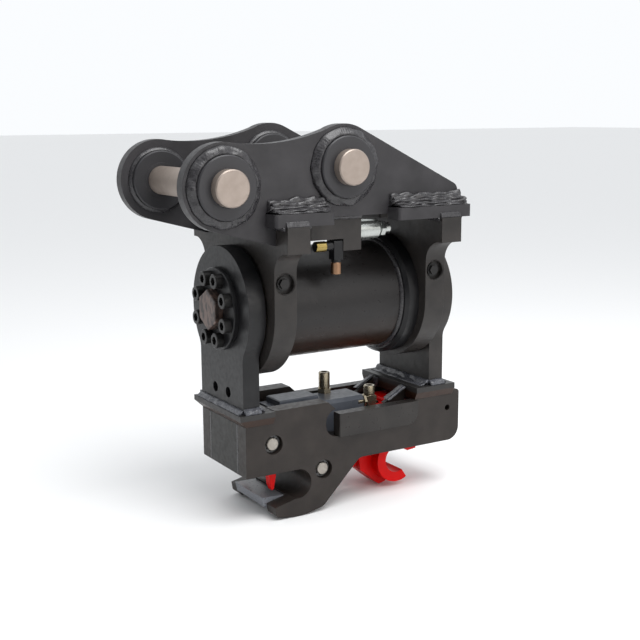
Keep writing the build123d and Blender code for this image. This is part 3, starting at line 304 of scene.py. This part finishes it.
def cover_paint():
    """Worn brown paint, scratched down to the metal."""
    finish = Finish("cover_paint", (0.06, 0.04, 0.034), 0.35, metallic=0.3)
    scratches = finish.stretch_range(finish.noise(140, 5, stretch=(1, 1, 0.5), turn=(25, 0, 0)), 0.44, 0.56)
    finish.colours(scratches, (0.028, 0.018, 0.015), (0.13, 0.085, 0.07))
    finish.soft_edges(0.8)
    finish.bump(finish.noise(240, 4), 0.25, 0.6)
    return finish.material


def weld_paint(name, colour, roughness):
    """Paint over weld metal: glossy, with small pits."""
    finish = Finish(name, colour, roughness)
    pale = tuple(c * 1.9 for c in colour)
    finish.colours(finish.stretch_range(finish.noise(260, 4), 0.4, 0.7), colour, pale)
    finish.roughness(finish.noise(420, 3), roughness - 0.08, roughness + 0.14)
    finish.bump(finish.noise(330, 3), 0.5, 0.6)
    return finish.material


def plain_metal(name, colour, roughness, metallic=0.9):
    finish = Finish(name, colour, roughness, metallic)
    dim = tuple(c * 0.7 for c in colour)
    finish.colours(finish.noise(240, 4), dim, colour)
    finish.soft_edges(0.4)
    return finish.material


def gloss_red():
    finish = Finish("gloss_red", (0.6, 0.0, 0.0), 0.4, shine=0.15)
    finish.colours(finish.noise(60, 3), (0.55, 0.0, 0.0), (0.7, 0.0, 0.0))
    finish.soft_edges()
    finish.bump(finish.noise(500, 2), 0.1, 0.3)
    return finish.material


def rubber():
    return plate_paint("rubber", (0.012, 0.012, 0.012), (0.02, 0.02, 0.02), 0.7).material


MATERIALS = {
    "ear": ear_paint(),
    "housing": housing_paint(),
    "barrel": barrel_paint(),
    "saddle": saddle_paint(),
    "hitch": hitch_paint(),
    "block": block_paint(),
    "cross_plate": cross_plate_paint(),
    "guard": guard_paint(),
    "cylinder": cylinder_paint(),
    "lip": lip_paint(),
    "pin": pin_steel(),
    "small_pin": small_pin_steel(),
    "dipper_boss": boss_paint("dipper_boss_paint", DIPPER_PIN),
    "link_boss": boss_paint("link_boss_paint", LINK_PIN),
    "cover": cover_paint(),
    "weld": weld_paint("weld_paint", (0.022, 0.021, 0.023), 0.28),
    "pale_weld": weld_paint("pale_weld_paint", (0.06, 0.062, 0.072), 0.26),
    "bronze": plain_metal("bronze", (0.45, 0.3, 0.14), 0.35),
    "zinc": plain_metal("zinc", (0.62, 0.62, 0.62), 0.35),
    "black_steel": plain_metal("black_steel", (0.03, 0.029, 0.029), 0.34, 0.6),
    "machined": plain_metal("machined", (0.5, 0.5, 0.52), 0.3),
    "chrome": plain_metal("chrome", (0.8, 0.8, 0.82), 0.08, 1.0),
    "valve": plain_metal("valve", (0.5, 0.52, 0.5), 0.25),
    "fitting": plain_metal("fitting", (0.42, 0.36, 0.26), 0.26),
    "copper": plain_metal("copper", (0.38, 0.22, 0.13), 0.3),
    "gilt": plain_metal("gilt", (0.36, 0.27, 0.09), 0.3),
    "spring": plain_metal("spring", (0.1, 0.1, 0.1), 0.4),
    "red": gloss_red(),
    "rubber": rubber(),
}

NODE_FINISH = {
    "ear": ["ear_near", "ear_far", "shelf_plates"],
    "housing": ["barrel_collar", "end_flange_front", "end_flange_rear", "end_plate_front", "hose_elbow"],
    "barrel": ["barrel"],
    "saddle": ["saddle_front", "saddle_rear", "manifold_block", "top_plates", "end_plate_rear"],
    "hitch": ["side_plate_near", "side_plate_far", "jaw_liner", "gussets", "rear_bar"],
    "block": ["front_block"],
    "cross_plate": ["cross_plate_front", "cross_plate_rear"],
    "guard": ["guard_bars"],
    "cylinder": ["hook_cylinder", "cylinder_cap", "rod_gland"],
    "lip": ["lip_plate"],
    "pin": ["dipper_pin", "link_pin"],
    "small_pin": ["latch_pin", "tie_pin"],
    "dipper_boss": ["dipper_bosses", "dipper_bushes"],
    "link_boss": ["link_bosses", "link_bushes"],
    "cover": ["centre_plugs"],
    "bronze": ["shaft_bushes", "thrust_washers"],
    "zinc": ["dipper_end_washer", "link_end_washer", "dipper_end_bolt", "link_end_bolt"],
    "black_steel": ["saddle_plugs", "flange_screws_front", "flange_screws_rear", "tie_spacer"],
    "machined": ["tilt_shaft", "tilt_piston", "ring_gear", "hook_piston"],
    "chrome": ["hook_rod"],
    "valve": ["relief_valve"],
    "fitting": ["port_fittings"],
    "spring": ["latch_spring", "retaining_rings"],
    "red": ["rear_hook", "jaw_latch"],
    "rubber": ["shaft_seals", "piston_seal"],
}

for finish_name, node_names in NODE_FINISH.items():
    for node_name in node_names:
        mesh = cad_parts[node_name].data
        mesh.materials.clear()
        mesh.materials.append(MATERIALS[finish_name])

# Weld metal, threads and other small relief

STEP = 1.0
ACROSS = 7
RIPPLE_PITCH = 3.3
RIPPLE_HEIGHT = 0.45


def make_mesh(name, vertices, faces, finish_name, body):
    mesh = bpy.data.meshes.new(name)
    mesh.from_pydata([at(*v) for v in vertices], [], faces)
    mesh.polygons.foreach_set("use_smooth", [True] * len(mesh.polygons))
    mesh.materials.append(MATERIALS[finish_name])
    piece = bpy.data.objects.new(name, mesh)
    bpy.context.collection.objects.link(piece)
    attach(piece, body)
    return piece


def straight(start, end, toe_a, toe_b):
    """Cross-sections of a fillet along a straight corner: the corner and the way to each toe."""
    start, end = Vector(start), Vector(end)
    count = max(4, round((end - start).length / STEP))
    return [(start.lerp(end, i / count), Vector(toe_a), Vector(toe_b)) for i in range(count + 1)]


def round_y(centre, radius, y, reach, rise):
    """Cross-sections of a fillet round an axis along Y: outwards by reach, and along Y by rise."""
    count = round(2 * math.pi * radius / STEP)
    sections = []
    for i in range(count):
        turn = 2 * math.pi * i / count
        outward = Vector((math.cos(turn), 0, math.sin(turn)))
        corner = Vector((centre[0], y, centre[1])) + outward * radius
        sections.append((corner, outward * reach, Vector((0, rise, 0))))
    return sections


def round_x(x, radius, reach, rise):
    """Cross-sections of a fillet round the tilt axis: outwards by reach, and along X by rise."""
    count = round(2 * math.pi * radius / STEP)
    sections = []
    for i in range(count):
        turn = 2 * math.pi * i / count
        outward = Vector((0, math.cos(turn), math.sin(turn)))
        sections.append((Vector((x, 0, 0)) + outward * radius, outward * reach, Vector((rise, 0, 0))))
    return sections


def fillet_rows(sections, bulge, lumps, seed):
    """Rows of points from toe to toe, raised in crescents, with a last point behind the corner."""
    rows = []
    for i, (corner, toe_a, toe_b) in enumerate(sections):
        along = i * STEP
        outward = (toe_a + toe_b).normalized()
        row = []
        for k in range(ACROSS):
            share = k / (ACROSS - 1)
            hump = 4 * share * (1 - share)
            wander = noise.noise(Vector((along * 0.08, seed, share * 1.4)))
            crescent = (along + 2.4 * hump + wander) / RIPPLE_PITCH % 1.0 - 0.5
            rise = hump * (bulge + lumps * wander + RIPPLE_HEIGHT * crescent)
            spread = 1 + 0.05 * lumps * wander
            row.append(corner + (toe_a * (1 - share) + toe_b * share) * spread + outward * rise)
        row.append(corner - outward * 0.4)
        rows.append(row)
    return rows


def skin(rows, closed, start):
    """Faces over rows of points that each run round a closed outline."""
    size, count = len(rows[0]), len(rows)
    faces = []
    for i in range(count if closed else count - 1):
        low, high = start + i * size, start + (i + 1) % count * size
        for k in range(size):
            after = (k + 1) % size
            faces.append((low + k, low + after, high + after, high + k))
    if not closed:
        faces.append(tuple(start + k for k in reversed(range(size))))
        faces.append(tuple(start + (count - 1) * size + k for k in range(size)))
    return faces


def mirrored(sections):
    """The same cross-sections on the far side."""
    def flip(vector):
        return Vector((vector.x, -vector.y, vector.z))
    return [(flip(corner), flip(toe_b), flip(toe_a)) for corner, toe_a, toe_b in sections]


def weld(name, runs, body, finish_name="weld"):
    """One piece of weld metal from several runs: each is (sections, bulge, lumps, closed)."""
    vertices, faces = [], []
    for seed, (sections, bulge, lumps, closed) in enumerate(runs):
        rows = fillet_rows(sections, bulge, lumps, seed * 3.7 + len(name))
        faces += skin(rows, closed, len(vertices))
        vertices += [point for row in rows for point in row]
    return make_mesh(name, vertices, faces, finish_name, body)


def on_both_sides(run):
    return [run, (mirrored(run[0]), *run[1:])]


def boss_welds():
    """Wide smooth rings round the bosses on the outside of each ear, and small ones inside."""
    for name, pin in (("dipper_boss_weld", DIPPER_PIN), ("link_boss_weld", LINK_PIN)):
        outside = round_y(pin, BOSS_R, -EAR_OUTER_Y, 11.5, -9.0)
        inside = round_y(pin, BOSS_R, -EAR_INNER_Y, 5.0, 5.0)
        runs = on_both_sides((outside, 1.8, 2.4, True)) + on_both_sides((inside, 0.8, 0.6, True))
        weld(name, runs, "upper_bracket")


def shelf_welds():
    """Layered runs that fill the corner between each ear and the shelf beside it."""
    reach, rise, layers = SHELF_OUTER_Y - EAR_OUTER_Y - 2.0, 17.0, 5
    ends = (("front_shelf_weld", (-153, -68), (-SADDLE_X[1], -SADDLE_X[0])), ("rear_shelf_weld", (39, 159), SADDLE_X))
    for name, x, seat in ends:
        runs = []
        for layer in range(layers):
            low, high = layer / layers, (layer + 1.15) / layers
            toe_a = (0, -reach * low, rise * (1 - low))
            toe_b = (0, -reach * min(high, 1), rise * max(1 - high, 0.02))
            inset = 3 * math.sin(layer * 2.1)
            start, end = (x[0] + inset, -EAR_OUTER_Y, SHELF_TOP_Z), (x[1] - inset, -EAR_OUTER_Y, SHELF_TOP_Z)
            runs += on_both_sides((straight(start, end, toe_a, toe_b), 2.0, 2.6, False))
        y, z = -SHELF_OUTER_Y, SADDLE_BAR_TOP_Z
        foot = straight((seat[0], y, z), (seat[1], y, z), (0, 0, 8.0), (0, -3.2, 0))
        runs += on_both_sides((foot, 0.2, 0.5, False))
        weld(name, runs, "upper_bracket")


def saddle_welds():
    """Runs under the shelves on the saddles' faces, and round the barrel's ends."""
    runs = []
    for x, way in ((SADDLE_X[0], -1), (SADDLE_X[1], 1), (-SADDLE_X[0], 1), (-SADDLE_X[1], -1)):
        start, end = (x, 4 - SADDLE_BAR_Y, SADDLE_BAR_TOP_Z), (x, -EAR_OUTER_Y, SADDLE_BAR_TOP_Z)
        runs += on_both_sides((straight(start, end, (way * 4.5, 0, 0), (0, 0, -5.0)), 0.8, 1.2, False))
    runs.append((round_x(-SADDLE_X[0], BARREL_R, 5.0, 5.0), 0.8, 1.0, True))
    runs.append((round_x(SADDLE_X[0] - COLLAR_W, BARREL_R, 4.5, -4.5), 0.8, 0.6, True))
    weld("saddle_weld", runs, "upper_bracket")


def ear_welds():
    """Runs along the foot of each ear: inside along the decks, and outside over the valve block."""
    runs = []
    for x in ((-154, -88), (38, 154)):
        start, end = (x[0], -EAR_INNER_Y, SHELF_TOP_Z), (x[1], -EAR_INNER_Y, SHELF_TOP_Z)
        runs += on_both_sides((straight(start, end, (0, 0, 6.0), (0, 6.0, 0)), 0.8, 1.2, False))
    y, z = MANIFOLD_FRONT_Y, EAR_BOTTOM_Z
    start, end = (MANIFOLD_X[0] + 2, y, z), (MANIFOLD_X[1] - 1, y, z)
    runs.append((straight(start, end, (0, -5.0, 0), (0, 0, -4.5)), 0.8, 1.6, False))
    weld("ear_weld", runs, "upper_bracket")


def leg_welds():
    """Wide runs at the foot of each end plate's leg, rough at the sides."""
    half, z = LEG_HALF_W, CROSS_TOP_Z
    runs = []
    for end in (-1, 1):
        out_x, in_x = end * END_OUT_X, end * END_IN_X
        outer = straight((out_x, -half, z), (out_x, half, z), (0, 0, 6.5), (end * 8.5, 0, 0))
        inner = straight((in_x, -half, z), (in_x, half, z), (0, 0, 8.0), (-end * 9.0, 0, 0))
        side = straight((in_x, -half, z), (out_x, -half, z), (0, 0, 8.0), (0, -7.5, 0))
        runs += [(outer, 1.0, 1.2, False), (inner, 1.4, 2.0, False)]
        runs += on_both_sides((side, 2.0, 3.4, False))
    inner_run = straight((END_IN_X - 8, -half, z), (END_IN_X - 8, half, z), (8.0, 0, 3.0), (-9.0, 0, 0.2))
    runs.append((inner_run, 1.0, 2.2, False))
    weld("leg_weld", runs, "hitch", "pale_weld")


def cross_plate_welds():
    """Runs between the cross plates and the side plates."""
    runs = []
    for x in (CROSS_FRONT_X, CROSS_REAR_X):
        low, high = max(x[0], SIDE_FRONT_X) + 1, x[1] - 1
        y, z = -SIDE_INNER_Y, CROSS_BOTTOM_Z
        runs += on_both_sides((straight((low, y, z), (high, y, z), (0, 5.0, 0), (0, 0, -5.0)), 0.6, 0.8, False))
    x, y, z = CROSS_FRONT_X[1], -SIDE_INNER_Y - 3, SIDE_TOP_Z
    runs += on_both_sides((straight((x, -SIDE_OUTER_Y + 2, z), (x, y, z), (0, 0, 1.6), (3.0, 0, 0)), 0.4, 0.8, False))
    weld("cross_plate_weld", runs, "hitch")


def gusset_welds():
    """Lumpy runs where the gussets meet the rear cross plate and the side plates."""
    x, y = CROSS_REAR_X[0], -SIDE_INNER_Y
    upright = straight((x, y + GUSSET_T, CROSS_TOP_Z - 4), (x, y + GUSSET_T, CROSS_BOTTOM_Z), (0, 6.0, 0), (-6.0, 0, 0))
    slope = straight((x - 34, y, SIDE_TOP_Z - 18), (x - 2, y, SIDE_TOP_Z - 1), (0, GUSSET_T, 1.0), (0, -7.0, -1.0))
    runs = on_both_sides((upright, 1.2, 2.0, False)) + on_both_sides((slope, 1.8, 2.6, False))
    weld("gusset_weld", runs, "hitch", "pale_weld")


def block_welds():
    """Ground-back seams between the nose block and the side plates."""
    runs = []
    for y in (-SIDE_INNER_Y, SIDE_INNER_Y):
        x, z = SIDE_FRONT_X + 0.6, (CROSS_BOTTOM_Z - 1, SIDE_BOTTOM_Z + 1)
        runs.append((straight((x, y, z[0]), (x, y, z[1]), (-0.6, -2.2, 0), (-0.6, 2.2, 0)), 0.2, 0.3, False))
    weld("block_weld", runs, "hitch")


THREAD_PITCH = 1.8
THREAD_HEIGHT = 0.7
ROUND_STEPS = 32


def thread(name, start, axis, length, radius, body, finish_name):
    """A threaded sleeve along X or Z, from start, over a fitting of the given radius."""
    ahead = Vector(axis)
    side = Vector((0, 1, 0))
    up = ahead.cross(side)
    turns = round(length / THREAD_PITCH)
    profile = [(step * THREAD_PITCH / 2, THREAD_HEIGHT * (step % 2) + 0.1) for step in range(2 * turns + 1)]
    profile = [(0.0, -THREAD_HEIGHT), *profile, (turns * THREAD_PITCH, -THREAD_HEIGHT)]
    rows = []
    for place, height in profile:
        angles = [2 * math.pi * step / ROUND_STEPS for step in range(ROUND_STEPS)]
        middle, reach = Vector(start) + ahead * place, radius + height
        rows.append([middle + (side * math.cos(turn) + up * math.sin(turn)) * reach for turn in angles])
    vertices = [point for row in rows for point in row]
    make_mesh(name, vertices, skin(rows, True, 0), finish_name, body)


boss_welds()
shelf_welds()
saddle_welds()
ear_welds()
leg_welds()
cross_plate_welds()
gusset_welds()
block_welds()
thread("elbow_drop_thread", ELBOW_DROP_END, (0, 0, 1), 16.0, ELBOW_R, "upper_bracket", "copper")
thread("elbow_leg_thread", ELBOW_LEG_END, (1, 0, 0), 16.0, ELBOW_R, "upper_bracket", "gilt")
for side_name, foot, height in FITTING_ENDS:
    thread(side_name + "_port_thread", foot, (0, 0, 1), height, FITTING_R, "hitch", "fitting")

# Camera, light and floor


CAMERA_AT = (-830.9, -1353.5, 266.1)
CAMERA_AZIMUTH = -31.33
CAMERA_ELEVATION = 10.7
CAMERA_ROLL = -0.30
FOCAL_PIXELS = 1093.1
PHOTO_PIXELS = 640
SENSOR = 36.0


def make_camera():
    azimuth, elevation, roll = (math.radians(a) for a in (CAMERA_AZIMUTH, CAMERA_ELEVATION, CAMERA_ROLL))
    back = Vector((
        math.sin(azimuth) * math.cos(elevation),
        -math.cos(azimuth) * math.cos(elevation),
        math.sin(elevation),
    ))
    level = Vector((math.cos(azimuth), math.sin(azimuth), 0))
    upright = back.cross(level)
    right = level * math.cos(roll) + upright * math.sin(roll)
    up = upright * math.cos(roll) - level * math.sin(roll)
    data = bpy.data.cameras.new("camera")
    data.sensor_width = SENSOR
    data.lens = SENSOR * FOCAL_PIXELS / PHOTO_PIXELS
    camera = bpy.data.objects.new("camera", data)
    bpy.context.collection.objects.link(camera)
    turn = Matrix((right, up, back)).transposed().to_4x4()
    camera.matrix_world = Matrix.Translation(at(*CAMERA_AT)) @ turn
    bpy.context.scene.camera = camera


def area_light(name, place, target, size, power, colour=(1, 1, 1)):
    data = bpy.data.lights.new(name, "AREA")
    data.size = size
    data.energy = power
    data.color = colour
    light = bpy.data.objects.new(name, data)
    light.location = at(*place)
    aim = at(*target) - light.location
    light.rotation_mode = "QUATERNION"
    light.rotation_quaternion = aim.to_track_quat("-Z", "Y")
    bpy.context.collection.objects.link(light)


WORLD_TOWARDS = (0.45, 0.35, 0.82)


def make_world():
    """White behind and above the object, dimmer on the side of the front jaw."""
    world = bpy.data.worlds.new("world")
    world.use_nodes = True
    tree = world.node_tree
    background = tree.nodes["Background"]
    place = tree.nodes.new("ShaderNodeTexCoord")
    dot = tree.nodes.new("ShaderNodeVectorMath")
    dot.operation = "DOT_PRODUCT"
    dot.inputs[1].default_value = WORLD_TOWARDS
    tree.links.new(place.outputs["Generated"], dot.inputs[0])
    spread = tree.nodes.new("ShaderNodeMapRange")
    tree.links.new(dot.outputs["Value"], spread.inputs["Value"])
    for key, number in (("From Min", -0.3), ("From Max", 0.3), ("To Min", 0.03), ("To Max", 1.0)):
        spread.inputs[key].default_value = number
    tree.links.new(spread.outputs["Result"], background.inputs["Strength"])
    background.inputs["Color"].default_value = (0.96, 0.98, 1.0, 1)
    bpy.context.scene.world = world


def make_floor():
    finish = Finish("floor", (0.9, 0.9, 0.9), 0.9)
    half, low = 30.0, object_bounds()[0].z - 0.0005
    mesh = bpy.data.meshes.new("floor")
    mesh.from_pydata([(-half, -half, low), (half, -half, low), (half, half, low), (-half, half, low)], [], [(0, 1, 2, 3)])
    mesh.materials.append(finish.material)
    floor = bpy.data.objects.new("floor", mesh)
    bpy.context.collection.objects.link(floor)


make_camera()
make_world()
make_floor()
area_light("top_light", (100, -700, 1500), (0, 0, 0), 1.2, 26)
area_light("near_light", (500, -1700, 500), (0, 0, -50), 1.0, 6, (1.0, 0.96, 0.92))
bpy.context.scene.view_settings.view_transform = "Standard"
